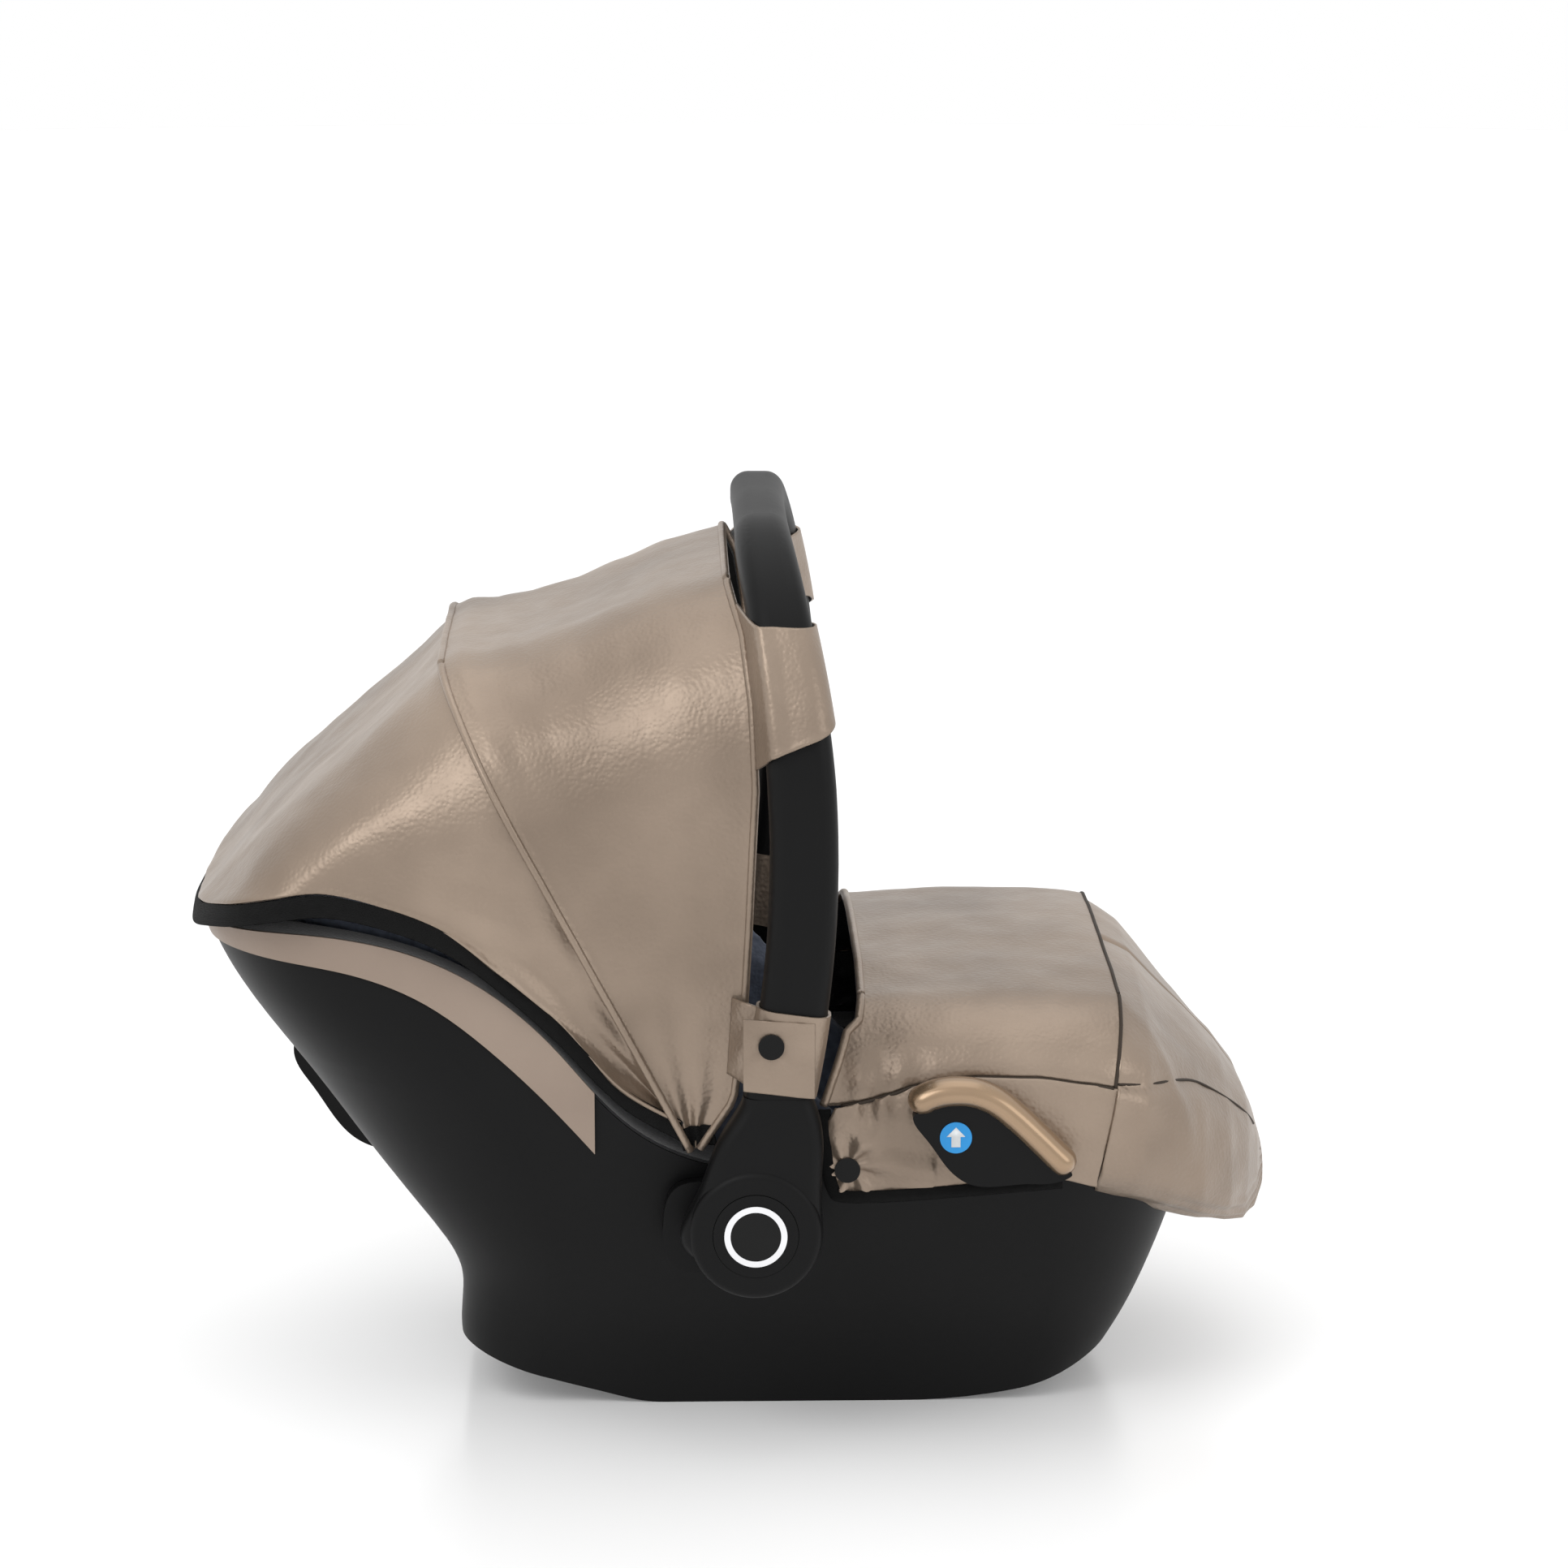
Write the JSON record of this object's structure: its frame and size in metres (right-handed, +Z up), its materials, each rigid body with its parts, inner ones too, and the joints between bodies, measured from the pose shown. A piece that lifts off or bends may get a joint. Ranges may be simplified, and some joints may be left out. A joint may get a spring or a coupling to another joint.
{
  "type": "infant car seat",
  "caption": "Rearward infant carrier with moulded shell, folding hood, foot cover, harness and a carry handle that swings back.",
  "frame": {"origin": "on the floor under the middle of the outline", "axes": "+X towards the foot end, -X the head end, +Z up, Y across; the right side in node names is -Y"},
  "size_m": [0.647, 0.4468, 0.53],
  "materials": {
    "black_plastic": "satin",
    "leatherette": "pebbled metallic sheen",
    "rim_cloth": "smooth satin",
    "black_lining": "knit",
    "grey_cushion": "soft knit",
    "black_elastic": "ribbed",
    "webbing": "woven",
    "pad_cloth": "soft knit",
    "stay_plastic": "satin",
    "steel": "brushed",
    "chrome_trim": "polished",
    "gloss_black": "gloss",
    "bronze_trim": "metallic lacquer",
    "blue_marker": "printed film",
    "snap_black": "satin",
    "red_button": "satin",
    "adjuster_grey": "satin"
  },
  "bodies": {
    "shell": {"outer_shell": "black_plastic", "foam_liner": "black_lining", "seat_cover": "black_lining", "rim_cover": "rim_cloth", "rear_belt_guide": "black_plastic", "hub_housing_right": "black_plastic", "hub_housing_left": "black_plastic", "adapter_cover_right": "black_plastic", "adapter_cover_left": "black_plastic", "pivot_pin_right": "steel", "pivot_pin_left": "steel", "button_spring_right": "steel", "button_spring_left": "steel", "canopy_rear": "leatherette", "canopy_front": "leatherette", "canopy_elastic": "black_elastic", "canopy_bow": "stay_plastic", "boot_top": "leatherette", "boot_toe": "leatherette", "boot_skirt": "leatherette", "boot_binding": "black_elastic", "boot_snaps": "snap_black", "belt_guide_right": "black_plastic", "belt_guide_left": "black_plastic", "belt_guide_trim_right": "bronze_trim", "belt_guide_trim_left": "bronze_trim", "belt_markers": "blue_marker", "body_insert": "grey_cushion", "head_insert": "grey_cushion", "harness_straps": "webbing", "lap_straps": "webbing", "shoulder_pads": "pad_cloth", "buckle_body": "black_plastic", "buckle_tongues": "steel", "crotch_strap": "webbing", "crotch_pad": "pad_cloth", "adjuster_housing": "black_plastic"},
    "handle": {"handle_bar": "black_plastic", "handle_end_right": "black_plastic", "handle_end_left": "black_plastic", "canopy_collar_right": "leatherette", "canopy_collar_left": "leatherette", "canopy_strap_right": "leatherette", "canopy_strap_left": "leatherette", "strap_snaps": "snap_black"},
    "button_right": {"hub_button_right": "black_plastic", "lock_gear_right": "steel", "button_ring_right": "chrome_trim", "button_badge_right": "gloss_black"},
    "button_left": {"hub_button_left": "black_plastic", "lock_gear_left": "steel", "button_ring_left": "chrome_trim", "button_badge_left": "gloss_black"},
    "buckle_release": {"buckle_button": "red_button"},
    "harness_release": {"adjuster_button": "adjuster_grey"}
  },
  "joints": [
    {"name": "handle_pivot", "type": "hinge", "parent": "shell", "child": "handle", "pos_m": [0.012, 0, 0.134], "axis": [0, -1, 0], "range_deg": [0, 95], "deforming": ["canopy_front", "canopy_rear", "canopy_bow", "canopy_elastic"]},
    {"name": "button_right_press", "type": "slide", "parent": "handle", "child": "button_right", "axis": [0, 1, 0], "range_m": [0, 0.0045], "stiffness_N_per_m": 1500, "springref_m": -0.002, "deforming": ["button_spring_right"]},
    {"name": "button_left_press", "type": "slide", "parent": "handle", "child": "button_left", "axis": [0, -1, 0], "range_m": [0, 0.0045], "stiffness_N_per_m": 1500, "springref_m": -0.002, "deforming": ["button_spring_left"]},
    {"name": "buckle_press", "type": "slide", "parent": "shell", "child": "buckle_release", "axis": [-0.4695, 0, -0.8829], "range_m": [0, 0.004], "stiffness_N_per_m": 800, "springref_m": -0.002},
    {"name": "adjuster_press", "type": "slide", "parent": "shell", "child": "harness_release", "axis": [0.5592, 0, -0.829], "range_m": [0, 0.0015], "stiffness_N_per_m": 800, "springref_m": -0.002}
  ]
}
